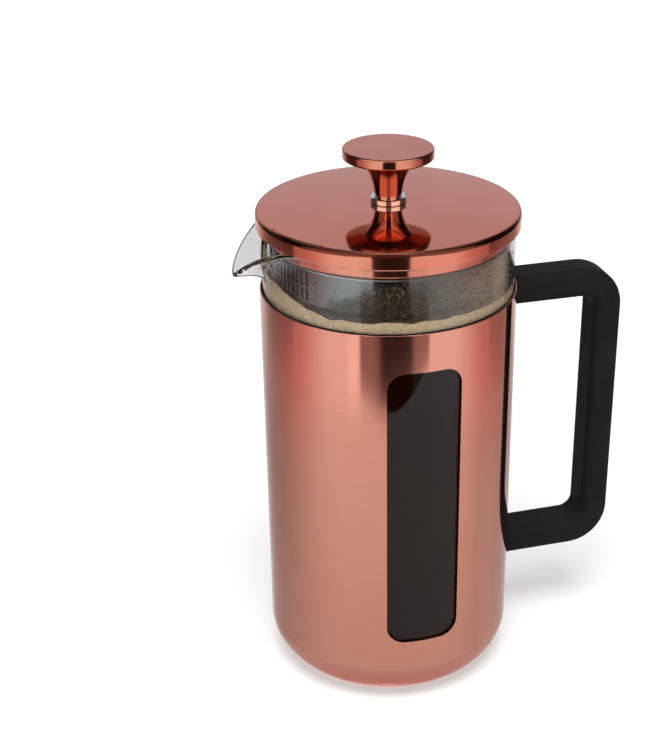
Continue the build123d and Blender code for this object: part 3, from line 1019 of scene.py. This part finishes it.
@dataclass
class Plunger:
    """The knob, the rod and the filter."""

    finishes: Finishes
    spring_circle: float = 45.85 * MM
    spring_level: float = 20.15 * MM
    spring_radius: float = 1.62 * MM
    spring_wire: float = 0.26 * MM
    spring_turns: int = 132
    points_per_turn: int = 10
    wire_detail: int = 1

    def build(self) -> None:
        """Dresses the plunger's nodes and winds the spring."""
        dress(self.finishes.knob_copper, "knob")
        dress(self.finishes.bright_steel, "plunger_rod", "spring_plate", "cross_plate")
        dress(self.finishes.woven_steel, "mesh_screen")
        dress(self.finishes.plain_steel, "filter_nut")
        self.spring()

    def spring(self) -> None:
        """The garter spring, wound in one closed round."""
        curve = bpy.data.curves.new("filter_coil", "CURVE")
        curve.dimensions = "3D"
        curve.bevel_depth = self.spring_wire
        curve.bevel_resolution = self.wire_detail
        count = self.spring_turns * self.points_per_turn
        line = curve.splines.new("POLY")
        line.points.add(count - 1)
        for place, point in enumerate(line.points):
            round_turn = math.tau * place / count
            coil_turn = math.tau * place / self.points_per_turn
            reach = self.spring_circle + self.spring_radius * math.cos(coil_turn)
            height = self.spring_level + self.spring_radius * math.sin(coil_turn)
            point.co = (reach * math.cos(round_turn), reach * math.sin(round_turn), height, 1.0)
        line.use_cyclic_u = True
        pattern = bpy.data.objects.new("filter_coil_pattern", curve)
        data = bpy.data.meshes.new_from_object(pattern)
        bpy.data.objects.remove(pattern)
        piece = Workpiece("filter_coil")
        piece.mesh.from_mesh(data)
        bpy.data.meshes.remove(data)
        piece.tidy()
        made = piece.finish(self.finishes.bright_steel, Body.PLUNGER)
        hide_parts("filter_spring")


@dataclass(frozen=True)
class Outlook:
    """The direction that a ray looks in, in degrees.

    The turn is from the front, right positive, the rise is from level, up positive, and aside is how far
    the turn is from the middle of the sheets in front.
    """

    turn: Wire
    rise: Wire
    aside: Wire


@dataclass(frozen=True)
class Patch:
    """One patch of light, shade or tint with soft edges, by turn, aside and rise.

    The patches in but add to its level, or take from it, within their own edges.
    """

    level: float
    turn: Edges = ()
    aside: Edges = ()
    rise: Edges = ()
    but: Tuple["Patch", ...] = ()

    def seen(self, look: Outlook) -> Wire:
        """How much of the patch a ray sees.

        Args:
            look: The direction of the ray.

        Returns:
            The patch's level, fading to 0 outside its edges.
        """
        share: Value = self.level
        for angle, edges in ((look.turn, self.turn), (look.aside, self.aside), (look.rise, self.rise)):
            if edges:
                share = share * angle.fade(edges)
        for patch in self.but:
            share = share * (1.0 + patch.seen(look))
        return share


@dataclass(frozen=True)
class Surroundings:
    """White sheets in front and below, soft boxes beside the camera and a pale wall behind."""

    heading: float
    lean: float = 4.0
    backdrop: float = 1.2
    least: float = 0.014
    above: Patch = Patch(1.0, rise=(-27, -22))
    # The dark gap between the sheets in front.
    gap_narrow: Patch = Patch(1.0, turn=(-15.5, -12, 16.5, 20.5))
    gap_broad: Patch = Patch(0.74, turn=(-26, -23.5, 35, 38))
    gap_middle: Patch = Patch(0.26, turn=(-12, -3, 19, 25))
    gap_widens: Patch = Patch(1.0, rise=(-22, -24))
    gap_hem: Span = (-27.7, -27.45)
    gap_hem_curve: float = 0.00147
    gap_depth: float = 0.985
    gap_haze: Patch = Patch(0.12, rise=(-2, 8))
    gap_top: Patch = Patch(0.36, rise=(20, 30))
    # The white sheets below.
    sheet_level: float = 0.555
    sheet_contrast: Patch = Patch(1.0, rise=(-47, -23))
    sheet_fall: Patch = Patch(0.64, aside=(45, 132))
    sheet_shade: Patch = Patch(0.12, rise=(-46, -36, -29, -26))
    sheet_right: Patch = Patch(0.22, turn=(92, 116, 150, 168), rise=(-44, -38, -28, -25))
    sheet_back: Patch = Patch(0.3, aside=(140, 178))
    sheet_sliver: Patch = Patch(0.24, turn=(-38, -34, -28, -26), rise=(-27.6, -26.4, -24.5, -22.5))
    # The large box round the front, whose side edges lean.
    near_lean: float = 1.9
    near_rise: float = -22.0
    near_edge: Span = (95.0, 90.0)
    near_level: float = 0.3
    near_middle: float = 0.5
    near_middle_edge: Span = (90.0, 46.0)
    near_top: Patch = Patch(1.0, rise=(1, -5))
    # The dim room beside the boxes, with a darker strip above a slanting line.
    room: Patch = Patch(0.2, rise=(-6, -17),
                        but=(Patch(0.5, turn=(92, 100), rise=(-18.5, -19.5)),))
    strip: Patch = Patch(0.75, aside=(90, 94, 118, 138))
    strip_line: Triple = (0.025, 0.0016, -21.2)
    strip_middle: float = 97.5
    strip_edge: Span = (-0.06, 0.06)
    # A tall box that is brighter at its foot, two slim ones, the far room, the flanks, the ceiling and
    # the light overhead.
    boxes: Tuple[Patch, ...] = (
        Patch(1.0, turn=(-80, -66, 72, 84), rise=(12, 17, 60, 74),
              but=(Patch(0.55, rise=(25, 21)),)),
        Patch(0.65, aside=(40, 24), rise=(-5, 1, 12, 17)),
        Patch(0.35, aside=(85, 75), rise=(-5, 1, 12, 17)),
        Patch(0.48, aside=(128, 158), rise=(8, -4)),
        Patch(0.1, aside=(70, 84, 136, 150), rise=(11, 15, 22, 27)),
        Patch(0.1, aside=(76, 110), rise=(36, 52)),
        Patch(0.6, rise=(72, 82)),
    )
    wall: Patch = Patch(0.56, aside=(126, 154), rise=(2, 9, 32, 48))
    # Tints.
    wall_tint: Colour = (1.0, 0.95, 1.08)
    cool: Patch = Patch(1.0, aside=(100, 140), rise=(6, 14))
    warm_tint: Colour = (1.0, 0.58, 0.60)
    warm_flanks: Patch = Patch(1.0, aside=(55, 92, 108, 142), rise=(-31, -25),
                               but=(Patch(-0.45, rise=(-25, -22)),))
    warm_ends: Patch = Patch(1.0, aside=(44, 76, 142, 165),
                             but=(Patch(-0.45, aside=(95, 135)),))
    warm_right: Patch = Patch(0.45, turn=(8, 22, 70, 90), rise=(-18.5, -20.5))
    warm_rim: Patch = Patch(1.0, rise=(-23.1, -22.3))
    warm_below: Patch = Patch(1.0, rise=(-2, -10))
    warm_gap: float = 0.8
    warm_floor: Patch = Patch(0.45, rise=(-42, -74))

    def build(self) -> None:
        """Makes the world, which the camera itself sees as plain white."""
        world = bpy.data.worlds.new("studio")
        bpy.context.scene.world = world
        world.use_nodes = True
        recipe = Recipe(world.node_tree)
        across, along, up = recipe.apart(recipe.node("ShaderNodeTexCoord", output="Generated"))
        heading = math.radians(self.heading)
        right = across * math.cos(heading) - along * math.sin(heading)
        front = across * -math.sin(heading) - along * math.cos(heading)
        turn = right.maths("ARCTAN2", right, front) * math.degrees(1.0)
        rise = up.maths("ARCSINE", up) * math.degrees(1.0)
        look = Outlook(turn, rise, abs(turn - self.lean))
        opening = self.opening(look)
        above = self.above.seen(look)
        level = (self.low(look) * (1.0 - above) + self.high(look) * above) * opening + self.least
        seen = recipe.node("ShaderNodeLightPath", output="Is Camera Ray")
        plain = recipe.blend(self.cool.seen(look), WHITE, self.wall_tint)
        tint = recipe.blend(self.warmth(look, opening) * (1.0 - seen), plain, self.warm_tint)
        sockets = {"Color": tint, "Strength": level.larger(seen * self.backdrop)}
        recipe.node_out("ShaderNodeOutputWorld", recipe.node("ShaderNodeBackground", None, sockets))

    def opening(self, look: Outlook) -> Wire:
        """How much light the gap in front leaves.

        Args:
            look: The direction of the ray.

        Returns:
            1 outside the gap, almost 0 in it.
        """
        widened = self.gap_widens.seen(look)
        broad = self.gap_broad.seen(look) + self.gap_middle.seen(look)
        gap = self.gap_narrow.seen(look) * (1.0 - widened) + broad * widened
        hem = (look.rise - look.turn * look.turn * self.gap_hem_curve).step(*self.gap_hem)
        return 1.0 - gap * hem * (self.gap_depth - self.gap_haze.seen(look) - self.gap_top.seen(look))

    def low(self, look: Outlook) -> Wire:
        """The light of the sheets below.

        Args:
            look: The direction of the ray.

        Returns:
            The light.
        """
        bright = 1.0 - self.sheet_fall.seen(look)
        sheet = self.sheet_level + (bright - self.sheet_level) * self.sheet_contrast.seen(look)
        sheet = sheet * (1.0 - self.sheet_shade.seen(look)) * (1.0 + self.sheet_right.seen(look))
        return sheet + self.sheet_back.seen(look) + self.sheet_sliver.seen(look)

    def high(self, look: Outlook) -> Wire:
        """The light of the soft boxes, the room and the wall.

        Args:
            look: The direction of the ray.

        Returns:
            The light.
        """
        reach = look.aside + (look.rise - self.near_rise) * self.near_lean
        middle = self.near_level + reach.step(*self.near_middle_edge) * self.near_middle
        near = reach.step(*self.near_edge) * middle * self.near_top.seen(look)
        slant, skew, start = self.strip_line
        line = (look.aside - self.strip_middle) * slant + look.turn * skew + start
        strip = self.strip.seen(look) * (look.rise - line).step(*self.strip_edge)
        light = near + self.room.seen(look) * (1.0 - strip)
        for patch in self.boxes:
            light = light + patch.seen(look)
        return light.larger(self.wall.seen(look))

    def warmth(self, look: Outlook, opening: Wire) -> Wire:
        """How warm the light is.

        Args:
            look: The direction of the ray.
            opening: How much light the gap in front leaves.

        Returns:
            0 for plain light, 1 for warm light.
        """
        rim = self.warm_rim.seen(look)
        ends = self.warm_ends.seen(look).larger(self.warm_right.seen(look))
        warmth = (self.warm_flanks.seen(look) * (1.0 - rim) + ends * rim) * self.warm_below.seen(look)
        return warmth.larger((1.0 - opening) * self.warm_gap).larger(self.warm_floor.seen(look))


@dataclass(frozen=True)
class Lamp:
    """One broad far lamp that doesn't show in gloss."""

    name: str
    strength: float
    spread: float
    towards: Triple

    def hang(self) -> None:
        """Adds the lamp to the scene."""
        lamp = bpy.data.lights.new(self.name, "SUN")
        lamp.energy = self.strength
        lamp.angle = math.radians(self.spread)
        made = bpy.data.objects.new(self.name, lamp)
        made.rotation_euler = Vector(self.towards).to_track_quat("-Z", "Y").to_euler()
        made.visible_glossy = False
        bpy.context.scene.collection.objects.link(made)


@dataclass
class Studio:
    """The pale floor, the soft light and the camera."""

    camera_spot: Triple = (-0.1543, -0.5281, 0.4009)
    camera_turn: float = 16.29
    camera_pitch: float = 25.79
    camera_lens: float = 72.4
    camera_shift: float = -0.0902
    camera_reach: Span = (0.01, 50.0)
    floor_size: float = 12.0
    floor_finish: Mottled = Mottled(
        "pale_floor", (0.46, 0.46, 0.46), (0.44, 0.44, 0.44), Grain(3.0, 3.0, 2.0),
        (("Specular IOR Level", 0.0), ("Emission Color", (0.40, 0.40, 0.40, 1.0)),
         ("Emission Strength", 1.0)),
        roughness=0.9,
    )
    lamps: Tuple[Lamp, ...] = (
        Lamp("key", 3.0, 28.0, (0.10, 0.40, -1.0)),
        Lamp("fill", 0.95, 170.0, (0.0, 0.0, -1.0)),
        Lamp("side", 0.4, 60.0, (1.0, 0.35, -0.45)),
    )

    def build(self) -> None:
        """Sets up the studio."""
        self.floor()
        for lamp in self.lamps:
            lamp.hang()
        Surroundings(self.camera_turn).build()
        self.camera()
        bpy.context.scene.view_settings.view_transform = "Standard"

    def floor(self) -> None:
        """The pale matt floor, which glows a little, and which gloss and glass look past."""
        mesh = bmesh.new()
        bmesh.ops.create_grid(mesh, x_segments=2, y_segments=2, size=self.floor_size / 2)
        data = bpy.data.meshes.new("floor")
        mesh.to_mesh(data)
        mesh.free()
        data.materials.append(self.floor_finish.make())
        made = bpy.data.objects.new("floor", data)
        made.visible_glossy = False
        made.visible_transmission = False
        bpy.context.scene.collection.objects.link(made)

    def camera(self) -> None:
        """The camera at the photograph's place."""
        data = bpy.data.cameras.new("photo_view")
        data.lens = self.camera_lens
        data.shift_x = self.camera_shift
        data.clip_start, data.clip_end = self.camera_reach
        made = bpy.data.objects.new("photo_view", data)
        made.location = self.camera_spot
        made.rotation_euler = (math.radians(90.0 - self.camera_pitch), 0.0, math.radians(-self.camera_turn))
        bpy.context.scene.collection.objects.link(made)
        bpy.context.scene.camera = made


def main() -> None:
    """Builds the press and the studio in order."""
    logging.basicConfig(level=logging.INFO, format="%(name)s: %(message)s")
    finishes = Finishes()
    for assembly in (Holder(finishes), Beaker(finishes), Lid(finishes), Plunger(finishes), Studio()):
        assembly.build()
        log.info("finished %s", type(assembly).__name__)


if __name__ == "__main__":
    main()
